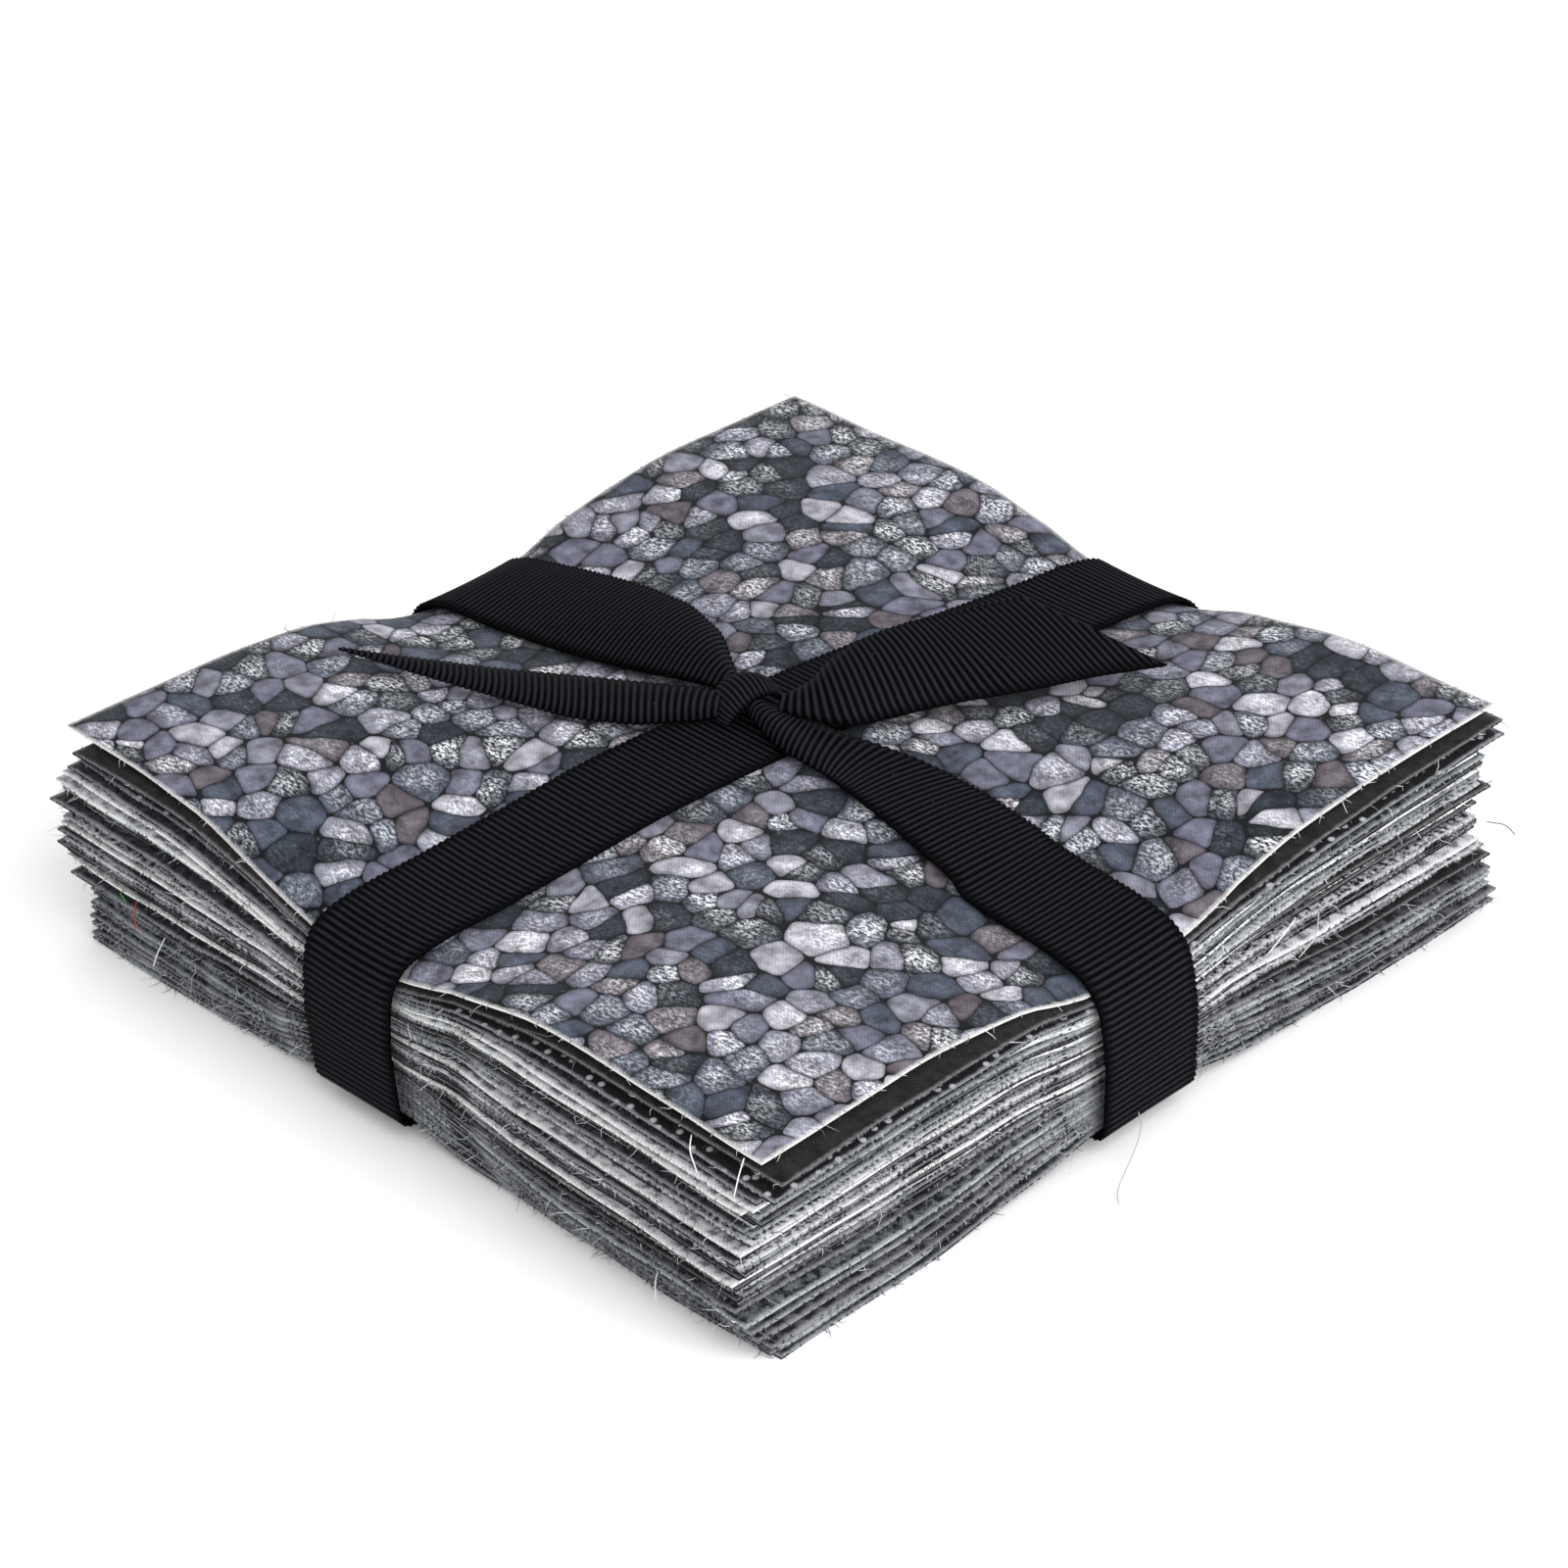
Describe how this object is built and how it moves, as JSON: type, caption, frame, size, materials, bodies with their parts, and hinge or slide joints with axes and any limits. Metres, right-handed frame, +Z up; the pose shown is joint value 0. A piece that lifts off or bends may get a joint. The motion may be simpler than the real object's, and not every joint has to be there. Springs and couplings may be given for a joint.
{
  "type": "charm pack",
  "caption": "Stack of square fabric pieces for patchwork, bound both ways by one black grosgrain ribbon that is knotted on top.",
  "frame": {"origin": "on the surface that the pack rests on, under the middle of the stack", "axes": "+X and +Y along the sides of the squares, +Z up out of the top square"},
  "size_m": [0.1334, 0.1338, 0.0389],
  "materials": {
    "stone_print_cotton": "matt plain weave with an all-over pebble print",
    "dark_cotton": "matt plain weave",
    "grey_cotton": "matt plain weave, printed",
    "pale_cotton": "matt plain weave, printed",
    "black_grosgrain": "ribbed across its width, slight sheen"
  },
  "bodies": {
    "root": {"squares_01": "dark_cotton", "squares_02": "grey_cotton", "squares_03": "pale_cotton", "squares_04": "dark_cotton", "squares_05": "grey_cotton", "squares_06": "pale_cotton", "squares_07": "dark_cotton", "squares_08": "grey_cotton", "squares_09": "pale_cotton", "squares_10": "dark_cotton", "squares_11": "grey_cotton", "squares_12": "pale_cotton", "squares_13": "grey_cotton", "squares_14": "dark_cotton", "squares_15": "stone_print_cotton", "ribbon": "black_grosgrain"}
  },
  "joints": []
}
